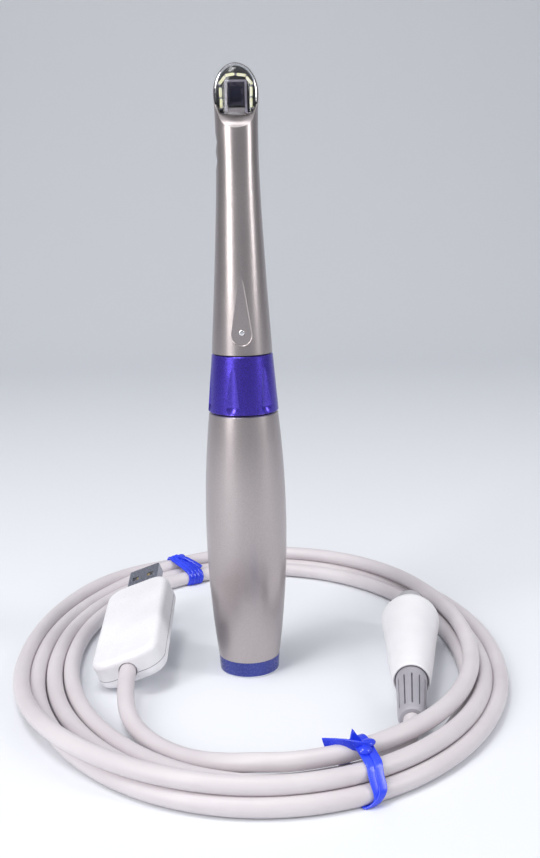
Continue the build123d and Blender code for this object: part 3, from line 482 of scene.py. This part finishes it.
# Head: stop over the prism, pads of the lights
headSet = {
    "stopY": (-0.00296, -0.00279),
    "stopWide": 0.0052,
    "stopEdge": 0.00004,
    "stopInset": 0.0005,
    "stopHigh": (0.1868, 0.1937),
    "holeX": (-0.00195, 0.00165),
    "holeZ": (0.18795, 0.19265),
    # each light's middle and lean, in mm and degrees
    "lights": ((-1.7, 196.1, 8), (1.8, 196.0, -8), (-4.05, 194.5, 52), (4.15, 194.3, -52),
               (-4.65, 190.9, 90), (4.7, 191.1, 90), (-4.5, 187.7, 90), (4.6, 187.8, 90)),
    "padReach": 1.5,      # mm from a light's middle
    "padSize": (0.42, 0.66, 0.16),
    "padEdge": 0.00004,
    "boardFront": -1.4,   # mm
}


def makeStop(s):
    (z0, z1), (x0, x1), (h0, h1) = s["stopHigh"], s["holeX"], s["holeZ"]
    front, back = s["stopY"]
    bpy.ops.object.select_all(action='DESELECT')
    middle = (z0 + z1) / 2
    bpy.ops.mesh.primitive_plane_add(size=1, location=(0, front, middle), rotation=(pi / 2, 0, 0))
    stop = bpy.context.object
    stop.name = stop.data.name = "prismStop"
    stop.scale = (s["stopWide"], z1 - z0, 1)
    bpy.ops.object.transform_apply(location=True, rotation=True, scale=True)
    bpy.ops.object.mode_set(mode='EDIT')
    bpy.ops.mesh.select_all(action='SELECT')
    bpy.ops.mesh.inset(thickness=s["stopInset"])
    bpy.ops.object.mode_set(mode='OBJECT')
    for v in stop.data.vertices:          # the inset corners go to the hole's corners
        if v.select:
            v.co.x = x0 if v.co.x < 0 else x1
            v.co.z = h0 if v.co.z < middle else h1
    bpy.ops.object.mode_set(mode='EDIT')
    bpy.ops.mesh.delete(type='FACE')
    bpy.ops.object.mode_set(mode='OBJECT')
    wall = stop.modifiers.new("wall", 'SOLIDIFY')
    wall.thickness = back - front
    wall.offset = -1
    bpy.ops.object.modifier_apply(modifier="wall")
    edge = stop.modifiers.new("edge", 'BEVEL')
    edge.width = s["stopEdge"]
    edge.segments = 2
    bpy.ops.object.modifier_apply(modifier="edge")
    bpy.ops.object.shade_smooth_by_angle(angle=radians(35))
    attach(stop, "handpiece")
    return stop


# One pad is made and copied to both ends of each light
def makePads(s):
    wide, high, proud = (mm / 1000 for mm in s["padSize"])
    y = s["boardFront"] / 1000 - proud / 2
    bpy.ops.object.select_all(action='DESELECT')
    bpy.ops.mesh.primitive_cube_add(size=1, location=(0, 0, 0))
    first = bpy.context.object
    first.scale = (wide, proud, high)
    bpy.ops.object.transform_apply(location=False, rotation=False, scale=True)
    bpy.ops.object.mode_set(mode='EDIT')
    bpy.ops.mesh.select_all(action='SELECT')
    bpy.ops.mesh.bevel(offset=s["padEdge"], segments=2, affect='EDGES')
    bpy.ops.object.mode_set(mode='OBJECT')
    pads = []
    for x, z, lean in s["lights"]:
        for way in (-1, 1):
            pad = first.copy()
            pad.data = first.data.copy()
            bpy.context.collection.objects.link(pad)
            at = radians(lean)
            reach = way * s["padReach"]
            pad.location = ((x + reach * cos(at)) / 1000, y, (z + reach * sin(at)) / 1000)
            pad.rotation_euler = (0, -at, 0)
            pads.append(pad)
    bpy.data.objects.remove(first)
    bpy.ops.object.select_all(action='DESELECT')
    for pad in pads:
        pad.select_set(True)
    bpy.context.view_layer.objects.active = pads[0]
    bpy.ops.object.join()
    bpy.ops.object.transform_apply(location=True, rotation=True, scale=True)
    piece = bpy.context.object
    piece.name = piece.data.name = "lightPads"
    bpy.ops.object.shade_smooth_by_angle(angle=radians(35))
    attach(piece, "handpiece")
    return piece


# Box: the fine dark line where its two shells meet
seamSet = {
    "middle": (-0.0393, 0.0062, 0.0123),
    "heading": 1.0,
    "rise": 7.6,
    "roll": 21.0,
    "height": -0.001664,  # of the seam's plane over the box's middle
    "wide": 0.024,
    "long": 0.054,
    "corner": 0.0065,
    "cornerSteps": 12,
    "wire": 0.00013,
    "wireSides": 8,
    "sunk": 0.00007,
    "smoothAngle": 60,
}


def makeSeam(s):
    axis, level, upright = directionsOf(s)
    roll = radians(s["roll"])
    side = level * cos(roll) + upright * sin(roll)
    up = side.cross(axis)
    home = Vector(s["middle"]) + up * s["height"]
    r, steps, sides = s["corner"], s["cornerSteps"], s["wireSides"]
    rows = []
    for sx, sy, start in cornerTurns:
        corner = home + side * sx * (s["wide"] / 2 - r) + axis * sy * (s["long"] / 2 - r)
        for k in range(steps + 1):
            at = radians(start + 90 / steps * k)
            away = side * cos(at) + axis * sin(at)
            rows.append((corner + away * (r - s["sunk"]), up, away))
    turns = [2 * pi / sides * k for k in range(sides)]
    section = [(s["wire"] * cos(at), s["wire"] * sin(at)) for at in turns]
    bm = bmesh.new()
    sweep(bm, rows, section, True)
    piece = meshPiece("boxSeam", bm, s["smoothAngle"])
    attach(piece, "handpiece")
    return piece


boxSeam = makeSeam(seamSet)
prismStop = makeStop(headSet)
lightPads = makePads(headSet)
print("seam and head details made")


# Stage and lights
stageSet = {
    "floorColour": (0.80, 0.815, 0.85),
    "worldColour": (0.80, 0.82, 0.86),
    # brightness of the room from below the horizon to overhead
    "worldStops": ((0.0, 0.16), (0.52, 0.20), (0.62, 0.42), (0.80, 0.62), (1.0, 0.70)),
    "wallAt": 1.2,
    "wallHeight": 1.7,
    "half": 2.0,
    "fold": 0.5,
    "foldSteps": 14,
    "under": 0.00005,     # how far the floor lies below the object
    "rough": 0.75,
    "gloss": 0.25,
    # name, place, aim, size, watts, colour
    "lamps": (
        ("softLeft", (-0.55, -0.52, 0.46), (0, 0, 0.09), (0.34, 0.66), 4.3, (1.0, 0.985, 0.97)),
        ("softRight", (0.66, -0.30, 0.44), (0, 0, 0.09), (0.15, 0.55), 2.0, (1.0, 0.99, 0.985)),
        ("softTop", (-0.20, -0.16, 0.93), (0, 0, 0.0), (0.32, 0.32), 2.9, (1.0, 1.0, 1.0)),
    ),
}


def makeStage(s):
    bpy.ops.mesh.primitive_plane_add(size=2 * s["half"], location=(0, 0, 0))
    floor = bpy.context.object
    floor.name = "sweep"
    bpy.ops.object.mode_set(mode='EDIT')
    bpy.ops.mesh.select_all(action='DESELECT')
    bpy.ops.object.mode_set(mode='OBJECT')
    for v in floor.data.vertices:
        v.select = v.co.y > 0
        if v.select:
            v.co.y = s["wallAt"]
    for e in floor.data.edges:
        e.select = all(floor.data.vertices[i].co.y > 0 for i in e.vertices)
    bpy.ops.object.mode_set(mode='EDIT')
    bpy.ops.mesh.select_mode(type='EDGE')
    bpy.ops.mesh.extrude_region_move(TRANSFORM_OT_translate={"value": (0, 0, s["wallHeight"])})
    bpy.ops.object.mode_set(mode='OBJECT')
    fold = floor.modifiers.new("fold", 'BEVEL')
    fold.width = s["fold"]
    fold.segments = s["foldSteps"]
    fold.limit_method = 'ANGLE'
    bpy.ops.object.modifier_apply(modifier="fold")
    bpy.ops.object.shade_smooth()
    floor.location = (0, 0, -s["under"])
    mat, nodes, links, bsdf = newMat("paleSweep", s["floorColour"], s["rough"])
    bsdf.inputs["Specular IOR Level"].default_value = s["gloss"]
    floor.data.materials.append(mat)


def makeLamp(name, place, aim, size, power, colour):
    bpy.ops.object.light_add(type='AREA', location=place)
    lamp = bpy.context.object
    lamp.name = name
    lamp.data.shape = 'RECTANGLE'
    lamp.data.size, lamp.data.size_y = size
    lamp.data.energy = power
    lamp.data.color = colour
    lamp.rotation_euler = (Vector(aim) - Vector(place)).to_track_quat('-Z', 'Y').to_euler()


def lightWorld(s):
    world = bpy.data.worlds.new("paleRoom")
    world.use_nodes = True
    nodes, links = world.node_tree.nodes, world.node_tree.links
    where = addNode(nodes, "ShaderNodeTexCoord")
    split = addNode(nodes, "ShaderNodeSeparateXYZ")
    lift = addNode(nodes, "ShaderNodeMapRange")
    lift.inputs["From Min"].default_value = -1
    links.new(where.outputs["Generated"], split.inputs["Vector"])
    links.new(split.outputs["Z"], lift.inputs["Value"])
    tones = [(at, tuple(c * level for c in s["worldColour"])) for at, level in s["worldStops"]]
    ramp = rampOf(nodes, links, lift.outputs["Result"], tones)
    links.new(ramp.outputs["Color"], nodes["Background"].inputs["Color"])
    bpy.context.scene.world = world


makeStage(stageSet)
for lampRow in stageSet["lamps"]:
    makeLamp(*lampRow)
lightWorld(stageSet)
bpy.context.scene.view_settings.view_transform = 'Standard'
print("stage and lights ready")


# Finishes. Joins a value that varies over the surface to the shader
def varyRough(nodes, links, bsdf, source, rough, fromLow=0.3, fromHigh=0.7):
    fit = spread(nodes, links, source, rough[0], rough[1], fromLow, fromHigh)
    links.new(fit.outputs["Result"], bsdf.inputs["Roughness"])


def varyColour(nodes, links, bsdf, source, stops):
    ramp = rampOf(nodes, links, source, stops)
    links.new(ramp.outputs["Color"], bsdf.inputs["Base Color"])


# Metallic lacquer: fine flakes under a clear coat
flakeSet = {
    "satinShell": {
        "tones": ((0.30, (0.42, 0.375, 0.38)), (0.5, (0.47, 0.425, 0.425)), (0.72, (0.53, 0.485, 0.48))),
        "metal": 0.92, "flake": 5600, "bump": 0.06,
        "cloud": (38, 3.0), "rough": (0.28, 0.34), "roughFrom": (0.3, 0.7),
        "coat": 0.12, "coatRough": 0.18,
    },
    "ringViolet": {
        "tones": ((0.30, (0.068, 0.042, 0.44)), (0.5, (0.085, 0.055, 0.52)), (0.72, (0.12, 0.085, 0.62))),
        "metal": 0.92, "flake": 6200, "bump": 0.07,
        "cloud": (3000, 0.0), "rough": (0.27, 0.34), "roughFrom": (0.45, 0.75),
        "coat": 0.25, "coatRough": 0.12,
    },
}


def flakedLacquer(name, s):
    mat, nodes, links, bsdf = newMat(name, s["tones"][1][1], s["rough"][0], s["metal"])
    flake = noiseAt(nodes, links, s["flake"], 1.0)
    cloud = noiseAt(nodes, links, *s["cloud"])
    varyColour(nodes, links, bsdf, flake.outputs["Fac"], s["tones"])
    varyRough(nodes, links, bsdf, cloud.outputs["Fac"], s["rough"], *s["roughFrom"])
    bumpOf(nodes, links, bsdf, flake.outputs["Fac"], s["bump"], 0.00003)
    bsdf.inputs["Coat Weight"].default_value = s["coat"]
    bsdf.inputs["Coat Roughness"].default_value = s["coatRough"]
    return mat


# Moulded plastic and rubber: dark, mid and light tone, then roughness, grain, bump and gloss
plasticSet = {
    "bandBlue": ((0.018, 0.026, 0.17), (0.026, 0.038, 0.24), (0.036, 0.052, 0.30), (0.22, 0.30), 1800, 0.03),
    "footPlastic": ((0.60, 0.62, 0.70), (0.68, 0.70, 0.77), (0.74, 0.76, 0.82)),
    "blackPlastic": ((0.010, 0.010, 0.012), (0.018, 0.018, 0.021), (0.03, 0.03, 0.034), (0.35, 0.5)),
    "greyPlastic": ((0.28, 0.27, 0.29), (0.34, 0.33, 0.35), (0.40, 0.39, 0.41)),
    "boardGreen": ((0.010, 0.10, 0.045), (0.018, 0.14, 0.065), (0.03, 0.19, 0.09), (0.25, 0.4), 700, 0.12),
    "boardBlack": ((0.006, 0.006, 0.008), (0.011, 0.011, 0.013), (0.02, 0.02, 0.022), (0.30, 0.45), 1200, 0.08),
    "sealRubber": ((0.012, 0.012, 0.012), (0.018, 0.018, 0.018), (0.03, 0.03, 0.03), (0.6, 0.75)),
    "sensorDark": ((0.02, 0.025, 0.06), (0.03, 0.035, 0.09), (0.05, 0.05, 0.12), (0.08, 0.15), 900, 0.02),
    "glossWhite": ((0.78, 0.77, 0.80), (0.83, 0.82, 0.85), (0.87, 0.865, 0.89), (0.26, 0.36), 2200, 0.03),
    "plugWhite": ((0.75, 0.745, 0.765), (0.80, 0.79, 0.815), (0.84, 0.835, 0.855), (0.36, 0.48), 2600, 0.05),
    "greyRubber": ((0.30, 0.285, 0.32), (0.36, 0.345, 0.385), (0.43, 0.41, 0.45), (0.42, 0.56), 1700, 0.08),
    "collarGrey": ((0.36, 0.355, 0.37), (0.43, 0.42, 0.44), (0.50, 0.49, 0.51), (0.32, 0.42), 1900, 0.05),
    "seamGrey": ((0.20, 0.19, 0.22), (0.24, 0.23, 0.26), (0.28, 0.27, 0.30), (0.5, 0.6)),
    "stopDark": ((0.016, 0.013, 0.028), (0.025, 0.02, 0.042), (0.04, 0.034, 0.062), (0.25, 0.35), 900, 0.05),
    "tongueWhite": ((0.74, 0.74, 0.77), (0.80, 0.80, 0.83), (0.85, 0.85, 0.87)),
    "tieBlue": ((0.012, 0.035, 0.62), (0.022, 0.055, 0.80), (0.04, 0.09, 0.92), (0.16, 0.28), 1300, 0.08, 0.6),
}


def mouldedPlastic(name, dark, mid, light, rough=(0.34, 0.42), grain=2600, strength=0.05, gloss=0.5):
    mat, nodes, links, bsdf = newMat(name, mid, rough[0])
    cloud = noiseAt(nodes, links, 55, 3.0)
    fine = noiseAt(nodes, links, grain, 2.0)
    varyColour(nodes, links, bsdf, cloud.outputs["Fac"], ((0.28, dark), (0.5, mid), (0.72, light)))
    varyRough(nodes, links, bsdf, fine.outputs["Fac"], rough)
    bumpOf(nodes, links, bsdf, fine.outputs["Fac"], strength, 0.00003)
    bsdf.inputs["Specular IOR Level"].default_value = gloss
    return mat


# Cable jacket: softly clouded and a little dusty
jacketSet = {
    "tones": ((0.25, (0.60, 0.55, 0.575)), (0.5, (0.645, 0.60, 0.625)), (0.75, (0.69, 0.65, 0.67))),
    "cloud": (42, 3.0), "grain": (1500, 2.0), "rough": (0.36, 0.50), "bump": (0.06, 0.00004),
}


def cableJacket(s):
    mat, nodes, links, bsdf = newMat("cableJacket", s["tones"][1][1], s["rough"][0])
    cloud = noiseAt(nodes, links, *s["cloud"])
    fine = noiseAt(nodes, links, *s["grain"])
    varyColour(nodes, links, bsdf, cloud.outputs["Fac"], s["tones"])
    varyRough(nodes, links, bsdf, fine.outputs["Fac"], s["rough"])
    bumpOf(nodes, links, bsdf, fine.outputs["Fac"], *s["bump"])
    return mat


# Metals: tint and roughness
steelSet = {
    "goldContact": ((0.86, 0.62, 0.26), (0.15, 0.25)),
    "plugSteel": ((0.30, 0.31, 0.37), (0.22, 0.32)),
    "electrodeSteel": ((0.82, 0.82, 0.84), (0.08, 0.14)),
    "padTin": ((0.52, 0.50, 0.56), (0.25, 0.4)),
}


def polishedSteel(name, tint, rough):
    mat, nodes, links, bsdf = newMat(name, tint, rough[0], 1.0)
    brushed = noiseAt(nodes, links, 900, 2.0, stretch=(1, 0.12, 1))
    dull, bright = tuple(c * 0.88 for c in tint), tuple(min(c * 1.08, 1) for c in tint)
    varyColour(nodes, links, bsdf, brushed.outputs["Fac"], ((0.3, dull), (0.7, bright)))
    varyRough(nodes, links, bsdf, brushed.outputs["Fac"], rough)
    bumpOf(nodes, links, bsdf, brushed.outputs["Fac"], 0.05, 0.00003)
    return mat


# Clear pieces: tint, how clear, IOR, smears and their detail, roughness
glassSet = {
    "clearWindow": ((0.97, 0.98, 1.0), 1.0, 1.33, (180, 3.0), (0.01, 0.07)),
    "paleLens": ((0.9, 0.95, 1.0), 0.9, 1.52, (300, 1.0), (0.02, 0.06)),
}


def clearGlass(name, tint, clear, ior, smears, rough):
    mat, nodes, links, bsdf = newMat(name, tint, rough[0])
    bsdf.inputs["Transmission Weight"].default_value = clear
    bsdf.inputs["IOR"].default_value = ior
    smear = noiseAt(nodes, links, *smears)
    varyRough(nodes, links, bsdf, smear.outputs["Fac"], rough)
    return mat


# Prism: nearly black, with a faint blue bloom
def darkGlass():
    mat, nodes, links, bsdf = newMat("darkGlass", (0.012, 0.013, 0.022), 0.06)
    bloom = noiseAt(nodes, links, 260, 2.0)
    stops = ((0.3, (0.006, 0.006, 0.012)), (0.7, (0.02, 0.02, 0.045)))
    varyColour(nodes, links, bsdf, bloom.outputs["Fac"], stops)
    bsdf.inputs["Specular IOR Level"].default_value = 0.2
    return mat


# Frame: plated, with painted shade: the sides that turn away from the front are coloured near black
frameSet = {
    "plate": ((0.3, (0.44, 0.39, 0.47)), (0.7, (0.56, 0.51, 0.59))),
    # painted shade: the near-black colour of the sides, and the turn over which it takes over
    "sides": (0.025, 0.022, 0.035),
    "paintedShadeTurn": (-0.85, -0.55),      # where the surface leans away from the front
    "metal": 0.85,
    "rough": (0.28, 0.40),
}


def framePlated(s):
    mat, nodes, links, bsdf = newMat("framePlated", s["plate"][0][1], s["rough"][0], s["metal"])
    where = addNode(nodes, "ShaderNodeTexCoord")
    split = addNode(nodes, "ShaderNodeSeparateXYZ")
    links.new(where.outputs["Normal"], split.inputs["Vector"])
    # painted shade: darker as the surface turns away from the front
    paintedShadeMask = spread(nodes, links, split.outputs["Y"], 1.0, 0.0, *s["paintedShadeTurn"])
    brushed = noiseAt(nodes, links, 900, 2.0)
    plate = rampOf(nodes, links, brushed.outputs["Fac"], s["plate"])
    mix = addNode(nodes, "ShaderNodeMix", data_type='RGBA')
    links.new(paintedShadeMask.outputs["Result"], mix.inputs["Factor"])
    mix.inputs[6].default_value = (*s["sides"], 1)
    links.new(plate.outputs["Color"], mix.inputs[7])
    links.new(mix.outputs[2], bsdf.inputs["Base Color"])
    varyRough(nodes, links, bsdf, brushed.outputs["Fac"], s["rough"])
    return mat


# Lights: pale phosphor with a painted glow, as if lit from within
lightSet = {
    "tones": ((0.28, (0.95, 0.91, 0.50)), (0.5, (0.98, 0.96, 0.64)), (0.72, (1.0, 0.99, 0.80))),
    "rough": (0.25, 0.38),
    "paintedGlow": (1.0, 0.96, 0.62),
    "paintedGlowLevel": 0.22,
}


def lightPhosphor(s):
    mat, nodes, links, bsdf = newMat("lightPhosphor", s["tones"][1][1], s["rough"][0])
    cloud = noiseAt(nodes, links, 900, 2.0)
    varyColour(nodes, links, bsdf, cloud.outputs["Fac"], s["tones"])
    varyRough(nodes, links, bsdf, cloud.outputs["Fac"], s["rough"])
    # painted glow: an emission lights the phosphor, though the lights are not switched on
    bsdf.inputs["Emission Color"].default_value = (*s["paintedGlow"], 1)
    bsdf.inputs["Emission Strength"].default_value = s["paintedGlowLevel"]
    return mat


finish = {
    "cableJacket": cableJacket(jacketSet),
    "darkGlass": darkGlass(),
    "framePlated": framePlated(frameSet),
    "lightPhosphor": lightPhosphor(lightSet),
}
for finishName, values in flakeSet.items():
    finish[finishName] = flakedLacquer(finishName, values)
for finishName, values in plasticSet.items():
    finish[finishName] = mouldedPlastic(finishName, *values)
for finishName, values in steelSet.items():
    finish[finishName] = polishedSteel(finishName, *values)
for finishName, values in glassSet.items():
    finish[finishName] = clearGlass(finishName, *values)

finishOfNode = {
    "rear_housing": "satinShell", "neck_housing": "satinShell", "focus_ring": "ringViolet",
    "label_band": "bandBlue", "base_cap": "footPlastic", "socket_insert": "blackPlastic",
    "socket_contacts": "goldContact", "chassis": "greyPlastic", "main_board": "boardGreen",
    "core_tube": "greyPlastic", "ring_seals": "sealRubber", "focus_carriage": "blackPlastic",
    "sensor_board": "boardGreen", "image_sensor": "sensorDark", "touch_electrode": "electrodeSteel",
    "head_window": "clearWindow", "objective_frame": "framePlated", "objective_prism": "darkGlass",
    "lens_tube": "blackPlastic", "relay_lenses": "paleLens", "led_board": "boardBlack",
    "leds": "lightPhosphor", "plug_housing": "plugWhite", "plug_collar": "collarGrey",
    "plug_insert": "blackPlastic", "plug_pins": "goldContact", "strain_relief": "greyRubber",
    "box_top_shell": "glossWhite", "box_bottom_shell": "glossWhite", "box_gland": "greyRubber",
    "box_board": "boardGreen", "usb_shell": "plugSteel", "usb_tongue": "tongueWhite",
    "usb_contacts": "goldContact", "cable_coil": "cableJacket", "cable_plug_lead": "cableJacket",
    "cable_box_lead": "cableJacket", "tie_front": "tieBlue", "tie_back": "tieBlue",
}


def paint(piece, key):
    piece.data.materials.clear()
    piece.data.materials.append(finish[key])


def paintNode(piece, key):
    for slot in piece.material_slots:
        slot.material = finish[key]
    if not piece.material_slots:
        piece.data.materials.append(finish[key])


for nodeName, key in finishOfNode.items():
    paintNode(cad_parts[nodeName], key)
for piece, key in ((leadCable, "cableJacket"), (tieFront, "tieBlue"), (tieBack, "tieBlue"),
                   (reliefSleeve, "greyRubber"), (boxSeam, "seamGrey"), (prismStop, "stopDark"),
                   (lightPads, "padTin")):
    paint(piece, key)
print("finishes on", len(finishOfNode), "nodes")
